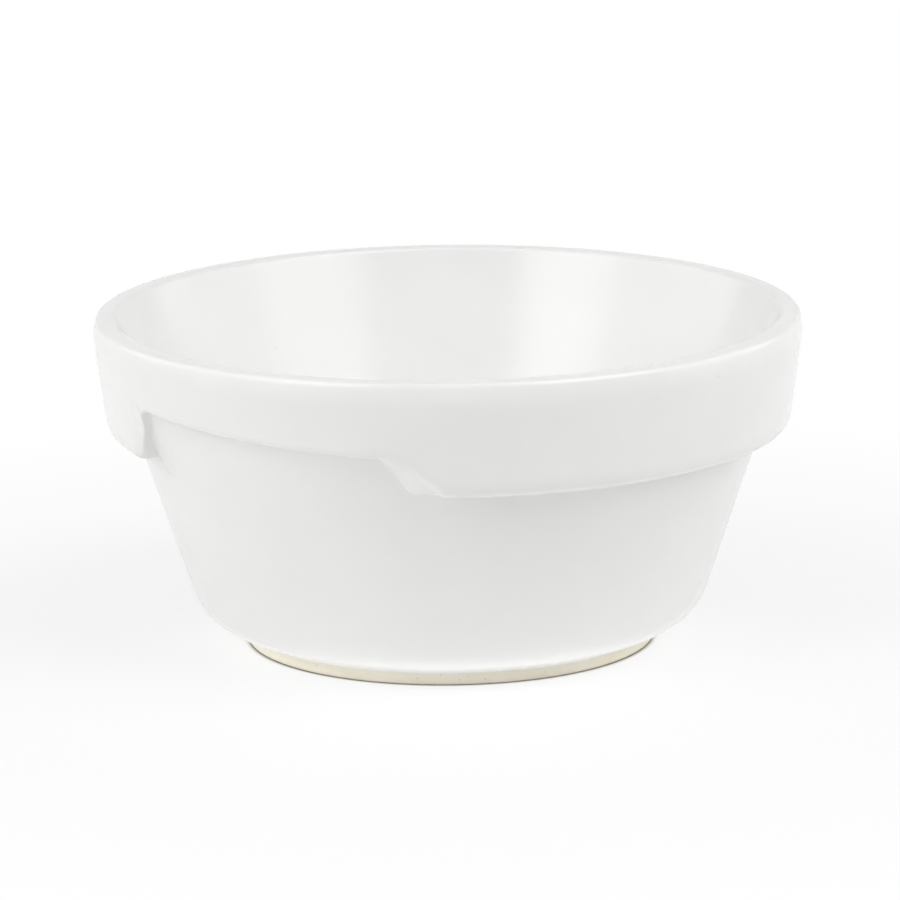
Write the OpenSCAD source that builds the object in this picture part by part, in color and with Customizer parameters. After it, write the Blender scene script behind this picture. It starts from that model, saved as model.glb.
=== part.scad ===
// Ramekin: a small round oven dish of white glazed stoneware. Its wall leans out to a flat lip, a
// thick collar stands proud below the lip, and the collar's lower edge steps up at two notches.
// It stands on a bare ring foot.
// Millimetres, Z up. The origin is on the table, in the middle of the foot.

/* [Bowl] */
// Diameter across the widest part, just below the lip
rim_d = 100; // [84:1:120]
// Height from the table to the lip
height = 47; // [38:0.1:54]
// Lean of the wall's outside from upright, in degrees
wall_lean = 18.5; // [12:0.5:21]
// Lean of the wall's inside from upright, in degrees: the wall thickens downwards where this is more
inner_lean = 20; // [18.5:0.5:24]
// Thickness that the wall would have at the lip without its collar, measured level
wall_t = 2.7; // [2:0.1:3.4]
// Thickness of the floor over the recess
floor_t = 4; // [3:0.1:6]
// Radius between the wall and the floor inside
inner_heel_r = 9; // [4:0.5:14]
// Height at which the wall's line meets the slope above the foot
heel_h = 3.8; // [2.8:0.1:5]
// Radius between the wall and that slope
outer_heel_r = 10.5; // [4:0.5:14]

/* [Lip] */
// Width from the inner edge of the lip to the widest part
lip_w = 2.96; // [2.4:0.02:4]
// Radius of the lip's inner edge
lip_inner_r = 0.7; // [0.5:0.05:1]
// Radius of the lip's outer edge
lip_outer_r = 1; // [0.5:0.05:1.2]
// Depth below the lip at which the collar is widest
shoulder_h = 2.5; // [2:0.1:4]
// Radius of the soft turn there
shoulder_r = 10; // [4:0.5:14]

/* [Collar] */
// Lean of the collar's face out from upright, in degrees
collar_lean = 7.6; // [3:0.2:10]
// Height of the collar below the lip, all round but at the notches
deep_collar_h = 16.4; // [13:0.2:22]
// Height of the collar below the lip at the notches
shallow_collar_h = 9.8; // [8.4:0.2:11]
// Radius of the collar's lower edge
collar_edge_r = 2; // [0.8:0.1:2.4]
// Radius in the corner between the collar and the wall
collar_fillet_r = 0.6; // [0.3:0.1:1]

/* [Notches] */
// How many notches the collar has
notch_count = 2; // [1:1:4]
// Angle from a notch's middle to the middle of its two ends, in degrees
notch_half_angle = 27.2; // [20:0.2:34]
// How far the floor of a notch stands out from the wall below it
notch_proud = 0.1; // [0.05:0.05:0.4]
// Lean from upright of the ramp at a notch's gentle end, in degrees
ramp_lean = 32; // [20:1:55]
// Lean from upright of the step at its steep end, in degrees
step_lean = 28; // [15:1:50]
// Slant of the ramp away from square to the collar, in degrees
ramp_slant = 50; // [20:1:55]
// Slant of the step away from square to the collar, in degrees
step_slant = 0; // [-30:1:30]

/* [Foot] */
// How far the foot stands in from the bottom of the wall
foot_inset = 6.4; // [5:0.1:9]
// Height of the bare clay that shows below the glaze
foot_h = 1.8; // [1:0.1:2.2]
// Width of the ring that touches the table
foot_w = 3.4; // [2.4:0.1:6]
// Radius of the foot's lower edges
foot_edge_r = 0.35; // [0.2:0.05:0.8]
// Depth of the recess inside the foot
recess_h = 1.4; // [0.8:0.1:2.4]
// Radius in the corner of the recess
recess_corner_r = 0.8; // [0.3:0.1:1.2]

/* [Glaze] */
// Thickness of the glaze
glaze_t = 0.35; // [0.2:0.05:0.5]
// Bare clay left between the foot and the glaze in the recess
wiped_w = 1.2; // [0.8:0.1:3]

/* [Hidden] */
$fn = 128;
arc_steps = 6;

// Heights and radii that follow from the sizes above
rim_r = rim_d / 2;
floor_z = recess_h + floor_t;
deep_z = height - deep_collar_h;
shallow_z = height - shallow_collar_h;
shoulder_z = height - shoulder_h;
shoulder_corner_r = rim_r + shoulder_r * (1 / cos(collar_lean) - 1);
crest_r = rim_r - lip_w + wall_t / 2;
function wall_r(z) = rim_r - lip_w + wall_t - (height - z) * tan(wall_lean);
function inner_r(z) = rim_r - lip_w - (height - z) * tan(inner_lean);
function collar_r(z) = shoulder_corner_r - (shoulder_z - z) * tan(collar_lean);
foot_r = wall_r(heel_h) - foot_inset;
foot_in_r = foot_r - foot_w;
heel_slope = (heel_h - foot_h) / foot_inset;

// The middle of a notch's end lies halfway up it and halfway through its depth
end_z = (deep_z + shallow_z) / 2;
end_r = (wall_r(end_z) + collar_r(end_z)) / 2;

// Room that the cutting shapes take beyond what they cut
cut_over = 4;
cut_over_angle = 25;
cut_sweep = notch_half_angle + cut_over_angle;
cut_box = rim_d + 2 * cut_over;

// A path is a list of corners, each a point and the radius of its round, with clay on its left.
function unit(v) = v / norm(v);
function left_of(v) = [-v[1], v[0]];
function turned(v, a) = [v[0] * cos(a) - v[1] * sin(a), v[0] * sin(a) + v[1] * cos(a)];
function backwards(list) = [for (i = [len(list) - 1:-1:0]) list[i]];
function part_of(list, first, last) = [for (i = [first:last]) list[i]];
function meet(p, u, q, v) = p + u * cross(q - p, v) / cross(u, v);
function spot(path, i) = path[i][0];
function inner_corner(path, i) = i > 0 && i < len(path) - 1;
function to_next(path, i) = unit(spot(path, i + 1) - spot(path, i));

// The path moved into the clay by d, with its rounds kept parallel
function moved_spot(path, i, d) =
    let (p = spot(path, i), last = len(path) - 1)
    let (before = to_next(path, max(i - 1, 0)), after = to_next(path, min(i, last - 1)))
    inner_corner(path, i)
        ? meet(p + d * left_of(before), before, p + d * left_of(after), after)
        : p + d * left_of(after);
function moved_round(path, i, d) =
    path[i][1] == 0 ? 0
    : cross(to_next(path, i - 1), to_next(path, i)) > 0 ? max(path[i][1] - d, 0)
    : path[i][1] + d;
function inset(path, d) =
    [for (i = [0:len(path) - 1]) [moved_spot(path, i, d), moved_round(path, i, d)]];

// How far a round reaches along the stretches beside it: neighbours share a stretch fairly
function half_angle(path, i) = acos(-to_next(path, i - 1) * to_next(path, i)) / 2;
function full_reach(path, i) = inner_corner(path, i) ? path[i][1] / tan(half_angle(path, i)) : 0;
function share(path, i, other) =
    let (mine = full_reach(path, i))
    norm(spot(path, i) - spot(path, other)) * mine / (mine + full_reach(path, other));
function reach(path, i) =
    full_reach(path, i) == 0 ? 0
    : min(full_reach(path, i), share(path, i, i - 1), share(path, i, i + 1));

// The points of one corner's round, and of a whole path with its rounds
function round_points(path, i) =
    let (p = spot(path, i), t = reach(path, i), half = half_angle(path, i))
    let (to_back = -to_next(path, i - 1), to_front = to_next(path, i))
    let (centre = p + unit(to_back + to_front) * t / cos(half))
    let (start = p + t * to_back - centre, end = p + t * to_front - centre)
    let (sweep = atan2(cross(start, end), start * end))
    [for (k = [0:arc_steps]) centre + turned(start, sweep * k / arc_steps)];
function rounded(path) =
    [for (i = [0:len(path) - 1]) each reach(path, i) == 0 ? [spot(path, i)] : round_points(path, i)];

// The glazed surface: outside up to the crest of the lip, and inside from there to the axis
function glazed_outside(edge_z) = [
    [[foot_r - foot_w / 2, foot_h - heel_slope * foot_w / 2], 0],
    [[wall_r(heel_h), heel_h], outer_heel_r],
    [[wall_r(edge_z), edge_z], collar_fillet_r],
    [[collar_r(edge_z), edge_z], collar_edge_r],
    [[shoulder_corner_r, shoulder_z], shoulder_r],
    [[shoulder_corner_r - shoulder_h * tan(collar_lean), height], lip_outer_r],
    [[crest_r, height], 0]
];
glazed_inside = [
    [[crest_r, height], 0],
    [[inner_r(height), height], lip_inner_r],
    [[inner_r(floor_z), floor_z], inner_heel_r],
    [[0, floor_z], 0]
];
wall_alone = [
    glazed_outside(deep_z)[0],
    glazed_outside(deep_z)[1],
    [[wall_r(height - wall_t), height - wall_t], 0]
];

// The clay's outline lies one glaze thickness behind the glazed surface, down to the bare foot
clay_outside = inset(glazed_outside(deep_z), glaze_t);
clay_inside = inset(glazed_inside, glaze_t);
clay_foot_top = meet([foot_r, 0], [0, 1], spot(clay_outside, 0), to_next(clay_outside, 0));
clay_outline = concat(
    [
        [[0, recess_h], 0],
        [[foot_in_r, recess_h], recess_corner_r],
        [[foot_in_r, 0], foot_edge_r],
        [[foot_r, 0], foot_edge_r],
        [clay_foot_top, 0]
    ],
    part_of(clay_outside, 1, len(clay_outside) - 2),
    part_of(clay_inside, 1, len(clay_inside) - 1)
);

// What a notch takes out of the collar, as an outline round the axis
function notch_outline(d) =
    let (below = deep_z - cut_over, far_r = rim_r + cut_over)
    let (floor_path = [
        [[wall_r(below), below], 0],
        [[wall_r(shallow_z), shallow_z], collar_fillet_r],
        [[collar_r(shallow_z), shallow_z], collar_edge_r],
        [[shoulder_corner_r, shoulder_z], 0]
    ])
    concat(rounded(inset(floor_path, d - notch_proud)), [[far_r, shoulder_z], [far_r, below]]);

// The side of a notch's end on which the notch lies
module beside_end(d, lean, slant) {
    rotate([0, 0, notch_half_angle])
        translate([0, -end_r, end_z])
            rotate([0, -lean, 0])
                rotate([0, 0, slant])
                    translate([d - cut_box, -cut_box / 2, -cut_box / 2])
                        cube(cut_box);
}

module notch(d) {
    intersection() {
        rotate([0, 0, -90 - cut_sweep])
            rotate_extrude(angle = 2 * cut_sweep)
                polygon(notch_outline(d));
        beside_end(d, ramp_lean, ramp_slant);
        mirror([1, 0, 0]) beside_end(d, step_lean, step_slant);
    }
}

// All the notches, d deeper than the glazed surface
module notches(d) {
    for (k = [0:notch_count - 1])
        rotate([0, 0, k * 360 / notch_count])
            notch(d);
}

// The fired stoneware: wall, collar, floor and bare foot in one piece
module clay_body() {
    color("cornsilk")
        difference() {
            rotate_extrude() polygon(rounded(clay_outline));
            notches(glaze_t);
        }
}

// The glaze that lines the inside, up to the crest of the lip
module inner_glaze() {
    color("white")
        rotate_extrude()
            polygon(concat(rounded(glazed_inside), backwards(rounded(clay_inside))));
}

// The glaze on the outside, from the crest of the lip to the top of the bare foot
module outer_glaze() {
    core = concat(rounded(inset(wall_alone, wall_t / 2)), [[crest_r, height - wall_t / 2]]);
    color("whitesmoke")
        difference() {
            rotate_extrude()
                polygon(concat(rounded(glazed_outside(deep_z)), backwards(core)));
            notches(0);
            clay_body();
        }
}

// The glaze in the recess under the dish, inside the wiped foot
module base_glaze() {
    color("white")
        translate([0, 0, recess_h - glaze_t])
            cylinder(h = glaze_t, r = foot_in_r - wiped_w);
}

clay_body();
inner_glaze();
outer_glaze();
base_glaze();
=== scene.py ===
"""A small white oven dish: fired clay under a glossy glaze, on a pale floor in soft studio light."""
import math

import bmesh
import bpy
import numpy as np
from mathutils import Matrix, Vector


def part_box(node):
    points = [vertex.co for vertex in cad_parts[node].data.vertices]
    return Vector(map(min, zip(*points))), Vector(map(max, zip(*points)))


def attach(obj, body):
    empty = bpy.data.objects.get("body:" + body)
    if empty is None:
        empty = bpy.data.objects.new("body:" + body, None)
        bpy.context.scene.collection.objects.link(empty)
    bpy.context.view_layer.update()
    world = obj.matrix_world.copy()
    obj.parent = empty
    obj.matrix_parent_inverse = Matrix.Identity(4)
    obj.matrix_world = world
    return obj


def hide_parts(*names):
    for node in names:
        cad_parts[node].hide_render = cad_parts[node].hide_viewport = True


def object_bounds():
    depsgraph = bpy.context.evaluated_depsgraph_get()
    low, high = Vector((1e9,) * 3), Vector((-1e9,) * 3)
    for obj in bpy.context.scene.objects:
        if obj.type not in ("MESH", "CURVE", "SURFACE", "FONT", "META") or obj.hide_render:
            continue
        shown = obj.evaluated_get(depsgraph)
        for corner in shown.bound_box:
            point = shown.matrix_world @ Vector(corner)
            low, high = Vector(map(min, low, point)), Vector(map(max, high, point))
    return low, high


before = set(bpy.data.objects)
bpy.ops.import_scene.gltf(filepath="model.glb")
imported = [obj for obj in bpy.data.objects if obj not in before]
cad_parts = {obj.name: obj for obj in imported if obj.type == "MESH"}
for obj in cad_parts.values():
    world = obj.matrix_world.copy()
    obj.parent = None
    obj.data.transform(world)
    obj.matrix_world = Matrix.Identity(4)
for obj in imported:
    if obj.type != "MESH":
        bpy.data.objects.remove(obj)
cad_low, cad_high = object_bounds()

MM = 0.001
DEG = math.pi / 180

# Sizes that the frame gives, in metres
liner_low, liner_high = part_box("inner_glaze")
base_low, base_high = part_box("base_glaze")
rim_r = (cad_high.x - cad_low.x) / 2
height = cad_high.z
crest_r = liner_high.x
recess_h = base_high.z
glaze_t = base_high.z - base_low.z
floor_z = liner_low.z + glaze_t
base_glaze_r = base_high.x

# Bowl
wall_lean = 18.5 * DEG
inner_lean = 20 * DEG
wall_t = 2.7 * MM
inner_heel_r = 9 * MM
heel_h = 3.8 * MM
outer_heel_r = 10.5 * MM

# Lip
lip_w = 2.96 * MM
lip_inner_r = 0.7 * MM
lip_outer_r = 1.0 * MM
shoulder_h = 2.5 * MM
shoulder_r = 10 * MM

# Collar, whose lower edge is higher in the notches and slants there, up and down from its middle
collar_lean = 7.6 * DEG
deep_z = height - 16.4 * MM
shallow_z = height - 9.8 * MM
step_h = shallow_z - deep_z
collar_edge_r = 2.3 * MM
collar_fillet_r = 0.6 * MM
notch_count = 2
notch_half_angle = 27.2 * DEG
notch_edge_r = 0.9 * MM
notch_slant = 1.3 * MM

# The two ends of a notch: a ramp, whose edges on collar and wall lie apart, and a steep step
end_width = 5 * DEG
end_softness = 0.06
ramp_lean = 32 * DEG
ramp_shift = 2.2 * MM
ramp_edge_r = 4.5 * MM
step_lean = 28 * DEG
step_edge_r = 1.2 * MM
step_fillet_r = 1.0 * MM

# A step's corner on the wall is filled and its edge on the collar is worn. Both fade out round the dish,
# over their reach, and along the step, over a share of its height. The wall and the collar bend towards
# them from a margin below and above the step.
step_fill = 1.1 * MM
step_fill_reach = 1.5 * MM
step_wear = 0.8 * MM
step_wear_reach = 1.0 * MM
step_taper = 0.25
step_margin = 2.5 * MM
step_margin_r = 3.0 * MM

# Foot, bare of glaze, and the edge of the glaze in its recess
foot_inset = 6.4 * MM
foot_h = 1.8 * MM
foot_w = 3.4 * MM
foot_edge_r = 0.35 * MM
recess_corner_r = 0.8 * MM
base_edge_r = 0.7 * glaze_t

# The glaze's lower end: a low bead that creeps down the foot
bead_t = 0.3 * MM
bead_r = 0.16 * MM
bead_fillet_r = 0.7 * MM
bead_creep = 0.12 * MM
bead_wave = 0.07 * MM
bead_waves = ((bead_wave, 3, 0.4), (bead_wave / 2, 7, 2.1), (bead_wave / 3, 13, 4.0))

# How thin the glaze runs, from 0 to 1
bead_thin = 0.6
edge_thin = 0.4
lip_thin = 0.1

# How far a fired pot is out of round, as shares of its radius
round_waves = ((0.0012, 2, 0.6), (0.0007, 3, 2.0), (0.0004, 5, 4.4))

# How finely the meshes are made: columns round the dish, and rows in a corner and in a stretch
column_count = 336
end_density = 3.0
end_density_width = 8 * DEG
density_samples = 20001
outside_rows = (9, 4)
inside_rows = (12, 10)
clay_rows = (5, 2)
liner_back_rows = (5, 4)
base_rows = (6, 6)
least_r = 0.05 * MM
merge_distance = 0.0001 * MM

# What follows from these sizes
shoulder_z = height - shoulder_h
shoulder_corner_r = rim_r + shoulder_r * (1 / math.cos(collar_lean) - 1)


def wall_r(z):
    """Radius of the wall's outside at height z."""
    return rim_r - lip_w + wall_t - (height - z) * math.tan(wall_lean)


def inner_r(z):
    """Radius of the wall's inside at height z."""
    return rim_r - lip_w - (height - z) * math.tan(inner_lean)


def collar_r(z):
    """Radius of the collar's face at height z."""
    return shoulder_corner_r - (shoulder_z - z) * math.tan(collar_lean)


foot_r = wall_r(heel_h) - foot_inset
foot_in_r = foot_r - foot_w
heel_slope = (heel_h - foot_h) / foot_inset
end_z = (deep_z + shallow_z) / 2
end_r = (wall_r(end_z) + collar_r(end_z)) / 2


def under_z(r):
    """Height of the glazed slope between the foot and the wall."""
    return foot_h + (r - foot_r) * heel_slope


def angle_from_notch(turn):
    """Angle from the middle of the nearest notch; the first notch is in the middle of the -Y side."""
    spacing = 2 * math.pi / notch_count
    return (turn + spacing / 2) % spacing - spacing / 2


def column_angles():
    """Angles of the columns, closer together at the ends of the notches."""
    fine = np.linspace(0, 2 * math.pi, density_samples)
    from_end = (np.abs(angle_from_notch(fine)) - notch_half_angle) / end_density_width
    density = 1 + end_density * np.exp(-from_end ** 4)
    total = np.concatenate([[0], np.cumsum((density[1:] + density[:-1]) / 2)])
    return np.interp(np.arange(column_count) / column_count, total / total[-1], fine)


turns = column_angles()


def soft_clamp(t):
    """t held between 0 and 1, with both bends rounded."""
    rise = np.logaddexp(0, t / end_softness) - np.logaddexp(0, (t - 1) / end_softness)
    return rise * end_softness


def past_step():
    """How far each column lies beyond the nearest step, towards the deep part of the collar."""
    return (-angle_from_notch(turns) - notch_half_angle) * end_r


def step_z(shift):
    """Height of the collar's lower edge round the dish, with the notches' ramps moved round by shift."""
    angle = angle_from_notch(turns)
    past_ramp = (angle - notch_half_angle) * end_r - shift
    rise = soft_clamp(0.5 - past_ramp / math.tan(ramp_lean) / step_h)
    rise = rise * soft_clamp(0.5 - past_step() / math.tan(step_lean) / step_h)
    slant = -notch_slant * np.clip(angle / notch_half_angle, -1, 1)
    return deep_z + (step_h + slant) * rise


def near_end(side):
    """1 at the ramps, for side 1, or at the steps, for side -1, and 0 elsewhere."""
    return np.exp(-((side * angle_from_notch(turns) - notch_half_angle) / end_width) ** 4)


def waves(terms):
    """A sum of slow waves round the dish, each given as size, count and start."""
    return sum(size * np.sin(count * turns + start) for size, count, start in terms)


def corner(r, z):
    """One corner of an outline for every column."""
    return np.stack([r + 0 * turns, z + 0 * turns], axis=-1)


def unit(v):
    """Directions of length 1."""
    return v / np.linalg.norm(v, axis=-1, keepdims=True)


def dot(a, b):
    """How far one direction goes along another."""
    return (a * b).sum(axis=-1, keepdims=True)


def left_of(v):
    """Directions a quarter turn to the left."""
    return np.stack([-v[..., 1], v[..., 0]], axis=-1)


def inset(path, depth):
    """The path moved to its left, into the clay, by depth."""
    spots = [spot for spot, _ in path]
    sides = [left_of(unit(b - a)) for a, b in zip(spots, spots[1:])]
    sides = [sides[0], *sides, sides[-1]]
    moved = []
    for (spot, radius), before, after in zip(path, sides, sides[1:]):
        bends_left = before[..., 0] * after[..., 1] - before[..., 1] * after[..., 0] > 0
        parallel = np.where(bends_left, np.maximum(radius - depth, least_r), radius + depth)
        shift = depth * (before + after) / (1 + dot(before, after))
        moved.append((spot + shift, parallel if np.any(radius) else 0 * MM))
    return moved


# A corner's curve starts and ends straight. Its control points lie at these shares of the way from the
# corner to the curve's ends, and its middle lies at CURVE_MIDDLE of the way to the point between them.
CURVE_SHARES = (1.0, 0.6, 0.2)
CURVE_DEGREE = 2 * len(CURVE_SHARES) - 1
CURVE_WEIGHTS = [math.comb(CURVE_DEGREE, k) for k in range(CURVE_DEGREE + 1)]
CURVE_MIDDLE = sum(w * share for w, share in zip(CURVE_WEIGHTS, CURVE_SHARES)) / 2 ** (CURVE_DEGREE - 1)


def corner_reaches(path):
    """How far each corner's curve reaches, so that its middle lies where a round of its radius would."""
    spots = [spot for spot, _ in path]
    lengths = [np.linalg.norm(b - a, axis=-1) for a, b in zip(spots, spots[1:])]
    none = np.zeros_like(turns)
    whole = np.ones_like(turns)
    reaches = [none]
    for i in range(1, len(path) - 1):
        back = unit(spots[i - 1] - spots[i])
        ahead = unit(spots[i + 1] - spots[i])
        half = np.arccos(np.clip(dot(back, ahead)[..., 0], -1, 1)) / 2
        reaches.append(path[i][1] / np.tan(half) / (CURVE_MIDDLE * (1 + np.sin(half))))
    reaches.append(none)
    fits = [length / np.maximum(a + b, length) for length, a, b in zip(lengths, reaches, reaches[1:])]
    fits = [whole, *fits, whole]
    return [reach * np.minimum(before, after) for reach, before, after in zip(reaches, fits, fits[1:])]


def corner_curve(spot, start, end, row_count):
    """Points of the curve that rounds one corner."""
    arms = [spot + share * (start - spot) for share in CURVE_SHARES]
    arms += [spot + share * (end - spot) for share in reversed(CURVE_SHARES)]
    points = []
    for t in np.linspace(0, 1, row_count):
        weights = [w * t ** k * (1 - t) ** (CURVE_DEGREE - k) for k, w in enumerate(CURVE_WEIGHTS)]
        points.append(sum(weight * arm for weight, arm in zip(weights, arms)))
    return points


def rounded(path, curve_rows, stretch_rows):
    """Rows of points along a path of corners, with curves at the corners."""
    reaches = corner_reaches(path)
    rows = [path[0][0]]
    for i in range(1, len(path)):
        spot = path[i][0]
        start = spot + reaches[i][..., None] * unit(path[i - 1][0] - spot)
        last = rows[-1]
        rows += [last + (start - last) * k / stretch_rows for k in range(1, stretch_rows)]
        if i == len(path) - 1:
            rows.append(spot)
        else:
            end = spot + reaches[i][..., None] * unit(path[i + 1][0] - spot)
            rows += corner_curve(spot, start, end, curve_rows)
    return rows


def thin_rows(thin, curve_rows, stretch_rows):
    """How thin the glaze is on each row of a rounded path, from how thin it is at the path's corners."""
    levels = [0.0]
    for level in thin[1:-1]:
        levels += [0.0] * (stretch_rows - 1)
        levels += [level * math.sin(math.pi * t) ** 2 for t in np.linspace(0, 1, curve_rows)]
    return levels + [0.0] * stretch_rows


# Where the glaze ends above the foot, and the collar's lower edge on the wall and on the collar's face
glaze_end_z = foot_h - bead_creep + waves(bead_waves)
edge_in_z = step_z(-ramp_shift)
edge_out_z = step_z(ramp_shift)
rise_in = np.clip((edge_in_z - deep_z) / step_h, 0, 1)
rise_out = np.clip((edge_out_z - deep_z) / step_h, 0, 1)

# How round that edge is, and how it is filled and worn at the steps
edge_r = collar_edge_r + (notch_edge_r - collar_edge_r) * rise_out
edge_r = edge_r + (ramp_edge_r - edge_r) * near_end(1)
edge_r = edge_r + (step_edge_r - edge_r) * near_end(-1)
fillet_r = collar_fillet_r + (step_fillet_r - collar_fillet_r) * near_end(-1)
step_half_run = step_h * math.tan(step_lean) / 2
off_step = np.maximum(np.abs(past_step()) - step_half_run, 0)
fill = step_fill * np.exp(-off_step / step_fill_reach) * np.minimum(rise_in / step_taper, 1)
wear = step_wear * np.exp(-off_step / step_wear_reach) * np.minimum((1 - rise_out) / step_taper, 1)
below_step_z = deep_z - step_margin
above_step_z = shallow_z + step_margin

# The glazed surface as corners, each with the radius of its round and with clay on the left
foot_line = [
    (corner(foot_r, glaze_end_z), 0 * MM),
    (corner(foot_r + bead_t, glaze_end_z), bead_r),
    (corner(foot_r + bead_t, under_z(foot_r + bead_t)), bead_fillet_r),
]
outside_above_foot = [
    (corner(wall_r(heel_h), heel_h), outer_heel_r),
    (corner(wall_r(below_step_z), below_step_z), step_margin_r),
    (corner(wall_r(edge_in_z) + fill, edge_in_z), fillet_r),
    (corner(collar_r(edge_out_z) - wear, edge_out_z), edge_r),
    (corner(collar_r(above_step_z), above_step_z), step_margin_r),
    (corner(shoulder_corner_r, shoulder_z), shoulder_r),
    (corner(shoulder_corner_r - shoulder_h * math.tan(collar_lean), height), lip_outer_r),
    (corner(crest_r, height), 0 * MM),
]
inside = [
    (corner(crest_r, height), 0 * MM),
    (corner(inner_r(height), height), lip_inner_r),
    (corner(inner_r(floor_z), floor_z), inner_heel_r),
    (corner(0, floor_z), 0 * MM),
]

# How thin the glaze runs at each of those corners
foot_line_thin = (0, bead_thin, 0)
outside_above_foot_thin = (0, 0, 0, edge_thin, 0, 0, lip_thin, 0)
inside_thin = (0, lip_thin, 0, 0)

# The clay's surface, one glaze thickness behind, from the top of the foot up to the lip and down inside
under_glaze = inset([(corner(foot_r, foot_h), 0 * MM), *outside_above_foot], glaze_t)
clay_foot_top = corner(foot_r, under_z(foot_r) + glaze_t / math.cos(math.atan(heel_slope)))
clay_outside = [(clay_foot_top, 0 * MM), *under_glaze[1:]]
clay_inside = inset(inside, glaze_t)
clay_foot = [
    (corner(0, recess_h), 0 * MM),
    (corner(foot_in_r, recess_h), recess_corner_r),
    (corner(foot_in_r, 0), foot_edge_r),
    (corner(foot_r, 0), foot_edge_r),
]


def out_of_round(rows):
    """Rows of radius and height as points in space, with the small unevenness of a fired pot."""
    points = np.array(rows)
    r, z = points[..., 0], points[..., 1]
    up = np.clip(z / height, 0, 1)
    uneven = waves(round_waves)
    r = r * (1 + up * (uneven - uneven.max()))
    return np.stack([r * np.sin(turns), -r * np.cos(turns), z], axis=-1)


def ring_faces(row_count):
    """Four-sided faces between each row and the next; the last row joins the first."""
    faces = []
    for i in range(row_count):
        here = i * column_count
        above = (i + 1) % row_count * column_count
        for j in range(column_count):
            k = (j + 1) % column_count
            faces.append((here + j, here + k, above + k, above + j))
    return faces


def row_verts(bm, row):
    """The vertices of one row of a mesh."""
    return [bm.verts[row * column_count + j] for j in range(column_count)]


def sharpen(ring):
    """Makes the edges along a ring of vertices sharp."""
    members = set(ring)
    for vert in ring:
        for edge in vert.link_edges:
            if edge.other_vert(vert) in members:
                edge.smooth = False


def ring_mesh(name, rows, sharp_rows=(), thin=()):
    """A closed mesh from rows of points round the axis, with sharp rows and the glaze's thinness."""
    points = out_of_round(rows)
    mesh = bpy.data.meshes.new(name)
    mesh.from_pydata([tuple(p) for p in points.reshape(-1, 3)], [], ring_faces(len(points)))
    bm = bmesh.new()
    bm.from_mesh(mesh)
    bm.verts.ensure_lookup_table()
    thin_layer = bm.verts.layers.float.new("thin_glaze")
    for row, level in enumerate(thin):
        for vert in row_verts(bm, row):
            vert[thin_layer] = level
    for row in sharp_rows:
        sharpen(row_verts(bm, row))
    bmesh.ops.remove_doubles(bm, verts=bm.verts, dist=merge_distance)
    bmesh.ops.recalc_face_normals(bm, faces=bm.faces)
    for face in bm.faces:
        face.smooth = True
    bm.to_mesh(mesh)
    bm.free()
    return mesh


def add_object(name, data):
    """An object in the scene that holds a mesh, a lamp or a camera."""
    thing = bpy.data.objects.new(name, data)
    bpy.context.scene.collection.objects.link(thing)
    return thing


def add_piece(mesh, material, node):
    """A piece of the dish that stands for one CAD node."""
    piece = add_object(mesh.name, mesh)
    mesh.materials.append(material)
    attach(piece, "root")
    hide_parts(node)


def new_material(name):
    """A node material with its node tree, its shader, and its texture place in the dish's own metres."""
    material = bpy.data.materials.new(name)
    material.use_nodes = True
    tree = material.node_tree
    place = tree.nodes.new("ShaderNodeTexCoord").outputs["Object"]
    return material, tree, tree.nodes["Principled BSDF"], place


def feed(tree, value, socket):
    """Gives a socket its value: another socket, a colour or a number."""
    if isinstance(value, bpy.types.NodeSocket):
        tree.links.new(value, socket)
    elif isinstance(value, tuple):
        socket.default_value = (*value, 1)
    else:
        socket.default_value = value


def noise(tree, place, size, detail):
    """Smooth noise whose features are about size across."""
    node = tree.nodes.new("ShaderNodeTexNoise")
    node.inputs["Scale"].default_value = 1 / size
    node.inputs["Detail"].default_value = detail
    feed(tree, place, node.inputs["Vector"])
    return node.outputs["Fac"]


def ramp(tree, value, first, last):
    """Colours or levels from first to last along a value, each a pair of a place and what is there."""
    node = tree.nodes.new("ShaderNodeValToRGB")
    for element, (at, level) in zip(node.color_ramp.elements, (first, last)):
        element.position = at
        element.color = (*level, 1) if isinstance(level, tuple) else (level, level, level, 1)
    feed(tree, value, node.inputs["Fac"])
    return node.outputs["Color"]


def mix(tree, share, first, second, how="MIX"):
    """Two colours mixed by a share, each a socket or a colour."""
    node = tree.nodes.new("ShaderNodeMix")
    node.data_type = "RGBA"
    node.blend_type = how
    sockets = {socket.identifier: socket for socket in (*node.inputs, *node.outputs)}
    feed(tree, share, sockets["Factor_Float"])
    feed(tree, first, sockets["A_Color"])
    feed(tree, second, sockets["B_Color"])
    return sockets["Result_Color"]


def combine(tree, how, first, second):
    """Two values joined by arithmetic, each a socket or a number."""
    node = tree.nodes.new("ShaderNodeMath")
    node.operation = how
    feed(tree, first, node.inputs[0])
    feed(tree, second, node.inputs[1])
    return node.outputs[0]


def fall(tree, value, start, end, high, low):
    """high up to start, low from end on, and a straight fall between them."""
    node = tree.nodes.new("ShaderNodeMapRange")
    for name, level in (("From Min", start), ("From Max", end), ("To Min", high), ("To Max", low)):
        node.inputs[name].default_value = level
    feed(tree, value, node.inputs["Value"])
    return node.outputs["Result"]


def dots(tree, place, spacing, size):
    """Small round dots strewn about: 1 in a dot's middle and 0 outside it."""
    node = tree.nodes.new("ShaderNodeTexVoronoi")
    node.inputs["Scale"].default_value = 1 / spacing
    feed(tree, place, node.inputs["Vector"])
    edge = size / spacing / 2
    return ramp(tree, node.outputs["Distance"], (edge / 2, 1.0), (edge, 0.0))


def bump(tree, level, depth, normal=None):
    """A bump of the given depth where level is 1, laid over another bump's normal."""
    node = tree.nodes.new("ShaderNodeBump")
    node.inputs["Distance"].default_value = depth
    feed(tree, level, node.inputs["Height"])
    if normal is not None:
        feed(tree, normal, node.inputs["Normal"])
    return node.outputs["Normal"]


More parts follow.
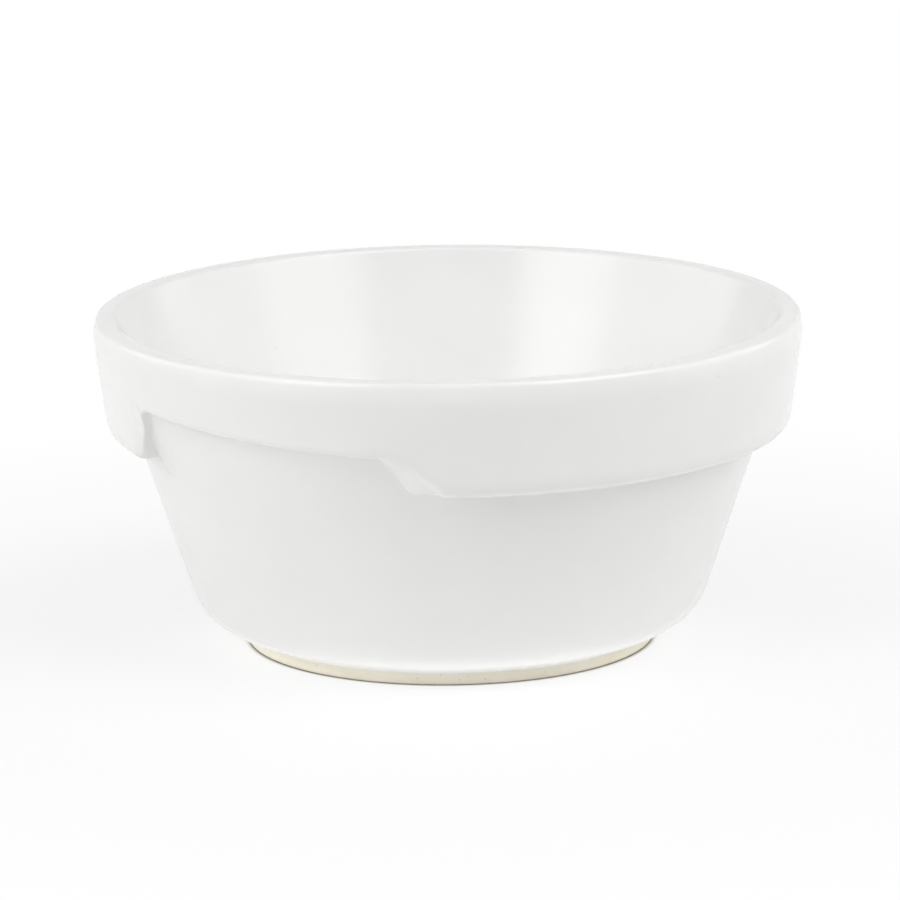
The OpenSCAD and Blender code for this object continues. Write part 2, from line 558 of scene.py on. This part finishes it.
def glaze_colour(tree, place):
    """White with faint clouds and rare brown specks, and cream where the glaze is thin."""
    dull_white = (0.885, 0.885, 0.878)
    bright_white = (0.91, 0.91, 0.902)
    speck_brown = (0.55, 0.50, 0.42)
    thin_cream = (0.90, 0.885, 0.80)
    cloud_noise = noise(tree, place, size=24 * MM, detail=4)
    clouds = ramp(tree, cloud_noise, (0.35, dull_white), (0.65, bright_white))
    specks = dots(tree, place, spacing=4.5 * MM, size=0.35 * MM)
    rare = ramp(tree, noise(tree, place, size=9 * MM, detail=1), (0.55, 0.0), (0.7, 0.35))
    speck_share = mix(tree, 1.0, specks, rare, "MULTIPLY")
    specked = mix(tree, speck_share, clouds, speck_brown)
    thin = tree.nodes.new("ShaderNodeAttribute")
    thin.attribute_name = "thin_glaze"
    uneven = ramp(tree, noise(tree, place, size=5 * MM, detail=3), (0.3, 0.25), (0.7, 0.7))
    thin_share = mix(tree, 1.0, thin.outputs["Color"], uneven, "MULTIPLY")
    return mix(tree, thin_share, specked, thin_cream)


def glaze_relief(tree, place):
    """A slow swell, a fine ripple and a few pinholes."""
    swell = bump(tree, noise(tree, place, size=11 * MM, detail=1), depth=0.05 * MM)
    ripple = bump(tree, noise(tree, place, size=1.3 * MM, detail=2), depth=0.006 * MM, normal=swell)
    pinholes = tree.nodes.new("ShaderNodeInvert")
    feed(tree, dots(tree, place, spacing=7 * MM, size=0.3 * MM), pinholes.inputs["Color"])
    return bump(tree, pinholes.outputs["Color"], depth=0.03 * MM, normal=ripple)


def glaze_material():
    """White glaze: glossy and slightly wavy."""
    material, tree, shader, place = new_material("white_glaze")
    sheen = ramp(tree, noise(tree, place, size=14 * MM, detail=3), (0.35, 0.19), (0.7, 0.26))
    feed(tree, glaze_colour(tree, place), shader.inputs["Base Color"])
    feed(tree, sheen, shader.inputs["Roughness"])
    feed(tree, glaze_relief(tree, place), shader.inputs["Normal"])
    shader.inputs["IOR"].default_value = 1.5
    return material


def clay_material():
    """Bare stoneware: cream, matt and grainy, with dark and pale grains."""
    cream = (0.88, 0.83, 0.69)
    light_cream = (0.92, 0.885, 0.77)
    dark_grain = (0.70, 0.63, 0.50)
    pale_grain = (0.86, 0.82, 0.72)
    material, tree, shader, place = new_material("bare_clay")
    body = ramp(tree, noise(tree, place, size=6 * MM, detail=5), (0.3, cream), (0.7, light_cream))
    dark = mix(tree, dots(tree, place, spacing=1.1 * MM, size=0.3 * MM), body, dark_grain)
    pale = mix(tree, dots(tree, place, spacing=0.8 * MM, size=0.2 * MM), dark, pale_grain)
    grain = bump(tree, noise(tree, place, size=0.35 * MM, detail=4), depth=0.03 * MM)
    feed(tree, pale, shader.inputs["Base Color"])
    feed(tree, grain, shader.inputs["Normal"])
    shader.inputs["Roughness"].default_value = 0.8
    return material


glaze = glaze_material()
clay = clay_material()


def add_outer_glaze():
    """The glaze outside, from the bead above the foot up to the crest of the lip."""
    front = rounded(foot_line + outside_above_foot, *outside_rows)
    back = rounded([foot_line[0], *clay_outside], *clay_rows)
    thin = thin_rows(foot_line_thin + outside_above_foot_thin, *outside_rows)
    crest_rows = (len(front) - 1, len(front))
    mesh = ring_mesh("outer_glaze_skin", front + back[::-1], crest_rows, thin)
    add_piece(mesh, glaze, "outer_glaze")


def add_inner_glaze():
    """The glaze inside, from the crest of the lip down to the middle of the floor."""
    front = rounded(inside, *inside_rows)
    back = rounded(clay_inside, *liner_back_rows)
    thin = thin_rows(inside_thin, *inside_rows)
    crest_rows = (0, len(front) + len(back) - 1)
    mesh = ring_mesh("inner_glaze_skin", front + back[::-1], crest_rows, thin)
    add_piece(mesh, glaze, "inner_glaze")


def add_clay():
    """The clay: recess, foot, the outside up to the lip and the inside down to the floor."""
    outline = clay_foot + clay_outside[:-1] + clay_inside[1:]
    mesh = ring_mesh("clay_form", rounded(outline, *clay_rows))
    add_piece(mesh, clay, "clay_body")


def add_base_glaze():
    """The disc of glaze in the recess under the dish."""
    disc = [
        (corner(0, recess_h), 0 * MM),
        (corner(base_glaze_r, recess_h), 0 * MM),
        (corner(base_glaze_r, recess_h - glaze_t), base_edge_r),
        (corner(0, recess_h - glaze_t), 0 * MM),
    ]
    mesh = ring_mesh("base_glaze_skin", rounded(disc, *base_rows))
    add_piece(mesh, glaze, "base_glaze")


add_outer_glaze()
add_inner_glaze()
add_clay()
add_base_glaze()

# Camera: where the photograph's edges put it, as seen from the dish's origin
camera_azimuth = 33.8 * DEG
camera_distance = 850.1 * MM
camera_rise = 14.504 * DEG
camera_pitch = 12.746 * DEG
camera_yaw = -0.01 * DEG
camera_roll = -0.66 * DEG
focal_over_width = 6.615

# Stage
UP = Vector((0, 0, 1))
lamp_distance = 0.9
floor_half = 4.0
floor_drop = 0.02 * MM
table_light_r = foot_r + 8.5 * MM
table_light_power = 0.005


def level_direction(azimuth):
    """The level direction from the dish towards a viewer at this azimuth."""
    return Vector((math.sin(azimuth), -math.cos(azimuth), 0))


def raised_direction(azimuth, rise):
    """The direction from the dish at this azimuth and at the angle rise above the level."""
    return math.cos(rise) * level_direction(azimuth) + math.sin(rise) * UP


def add_camera():
    """A camera that sees the dish as the photograph shows it."""
    data = bpy.data.cameras.new("camera")
    data.sensor_fit = "HORIZONTAL"
    data.lens = focal_over_width * data.sensor_width
    camera = add_object("camera", data)
    place = camera_distance * raised_direction(camera_azimuth, camera_rise)
    ahead = -raised_direction(camera_azimuth + camera_yaw, camera_pitch)
    right = ahead.cross(UP).normalized()
    above = right.cross(ahead)
    turned_right = math.cos(camera_roll) * right + math.sin(camera_roll) * above
    turned_up = math.cos(camera_roll) * above - math.sin(camera_roll) * right
    axes = Matrix((turned_right, turned_up, -ahead)).transposed().to_4x4()
    camera.matrix_world = Matrix.Translation(place) @ axes
    bpy.context.scene.camera = camera


def add_softbox(name, side, rise, width, tall, power):
    """A rectangular lamp that faces the dish, at side to the right of the camera and rise above level."""
    data = bpy.data.lights.new(name, "AREA")
    data.shape = "RECTANGLE"
    data.size = width
    data.size_y = tall
    data.energy = power
    lamp = add_object(name, data)
    out = raised_direction(camera_azimuth + side, rise)
    lamp.location = height / 2 * UP + lamp_distance * out
    lamp.rotation_mode = "QUATERNION"
    lamp.rotation_quaternion = (-out).to_track_quat("-Z", "Y")
    lamp.visible_camera = False


def add_table_light():
    """A disc of light that lies on the floor, as a white table scatters light up at the foot."""
    data = bpy.data.lights.new("table", "AREA")
    data.shape = "DISK"
    data.size = 2 * table_light_r
    data.energy = table_light_power
    lamp = add_object("table", data)
    lamp.location = (0, 0, cad_low.z - floor_drop / 2)
    lamp.rotation_euler = (math.pi, 0, 0)
    lamp.visible_camera = False
    lamp.visible_glossy = False


def seen_directly(tree):
    """1 for what the camera sees by itself, in a mirror or through glass, and 0 for light on the dish."""
    path = tree.nodes.new("ShaderNodeLightPath")
    total = path.outputs["Is Camera Ray"]
    for name in ("Is Glossy Ray", "Is Transmission Ray"):
        total = combine(tree, "MAXIMUM", total, path.outputs[name])
    return total


def add_world():
    """A surround that is white where it is seen and sheds no other light on the dish."""
    world = bpy.data.worlds.new("surround")
    bpy.context.scene.world = world
    world.use_nodes = True
    background = world.node_tree.nodes["Background"]
    background.inputs["Color"].default_value = (1, 1, 1, 1)
    feed(world.node_tree, seen_directly(world.node_tree), background.inputs["Strength"])


def floor_material():
    """White where it is seen, apart from a dark ring of painted shadow under the foot's edge and a faint
    shadow round it, where its own shading shows.
    """
    paper_white = (0.95, 0.95, 0.95)
    # Painted shadow: a dark brown ring on the floor just under the foot's edge, from its start to its end
    painted_shadow_colour = (0.30, 0.27, 0.23)
    painted_shadow_start = foot_r - 0.1 * MM
    painted_shadow_end = foot_r + 0.8 * MM
    shadow_share = 0.35
    shadow_reach = 150 * MM
    material, tree, paper, place = new_material("pale_floor")
    paper.inputs["Roughness"].default_value = 1.0
    paper.inputs["Specular IOR Level"].default_value = 0.0
    white = tree.nodes.new("ShaderNodeEmission")
    from_axis = tree.nodes.new("ShaderNodeVectorMath")
    from_axis.operation = "LENGTH"
    feed(tree, place, from_axis.inputs[0])
    distance = from_axis.outputs["Value"]
    # Painted shadow: under the foot's edge the floor's colour turns dark brown, and it shows its own
    # shading there instead of white
    painted_shadow = fall(tree, distance, painted_shadow_start, painted_shadow_end, 1.0, 0.0)
    feed(tree, mix(tree, painted_shadow, paper_white, painted_shadow_colour), paper.inputs["Base Color"])
    shadow = fall(tree, distance, 0.0, shadow_reach, shadow_share, 0.0)
    shaded = combine(tree, "MAXIMUM", painted_shadow, shadow)
    plain = combine(tree, "SUBTRACT", 1.0, shaded)
    white_share = combine(tree, "MULTIPLY", seen_directly(tree), plain)
    blend = tree.nodes.new("ShaderNodeMixShader")
    feed(tree, white_share, blend.inputs[0])
    feed(tree, paper.outputs[0], blend.inputs[1])
    feed(tree, white.outputs[0], blend.inputs[2])
    feed(tree, blend.outputs[0], tree.nodes["Material Output"].inputs["Surface"])
    return material


def add_floor():
    """A wide floor just under the foot."""
    ends = (-floor_half, floor_half)
    verts = [(x, y, cad_low.z - floor_drop) for y in ends for x in ends]
    mesh = bpy.data.meshes.new("floor")
    mesh.from_pydata(verts, [], [(0, 1, 3, 2)])
    mesh.materials.append(floor_material())
    floor = add_object("floor", mesh)


add_camera()
add_softbox("front_left", side=-50 * DEG, rise=28 * DEG, width=0.55, tall=0.7, power=2.8)
add_softbox("high_left", side=-50 * DEG, rise=45 * DEG, width=0.55, tall=0.7, power=1.1)
add_softbox("high_right", side=55 * DEG, rise=45 * DEG, width=0.6, tall=0.8, power=4.2)
add_softbox("overhead", side=0 * DEG, rise=78 * DEG, width=0.9, tall=0.9, power=1.3)
add_softbox("left", side=-100 * DEG, rise=20 * DEG, width=0.9, tall=0.6, power=2.25)
add_softbox("right", side=100 * DEG, rise=20 * DEG, width=0.9, tall=0.6, power=2.3)
add_table_light()
add_world()
add_floor()

bpy.context.scene.view_settings.view_transform = "Standard"
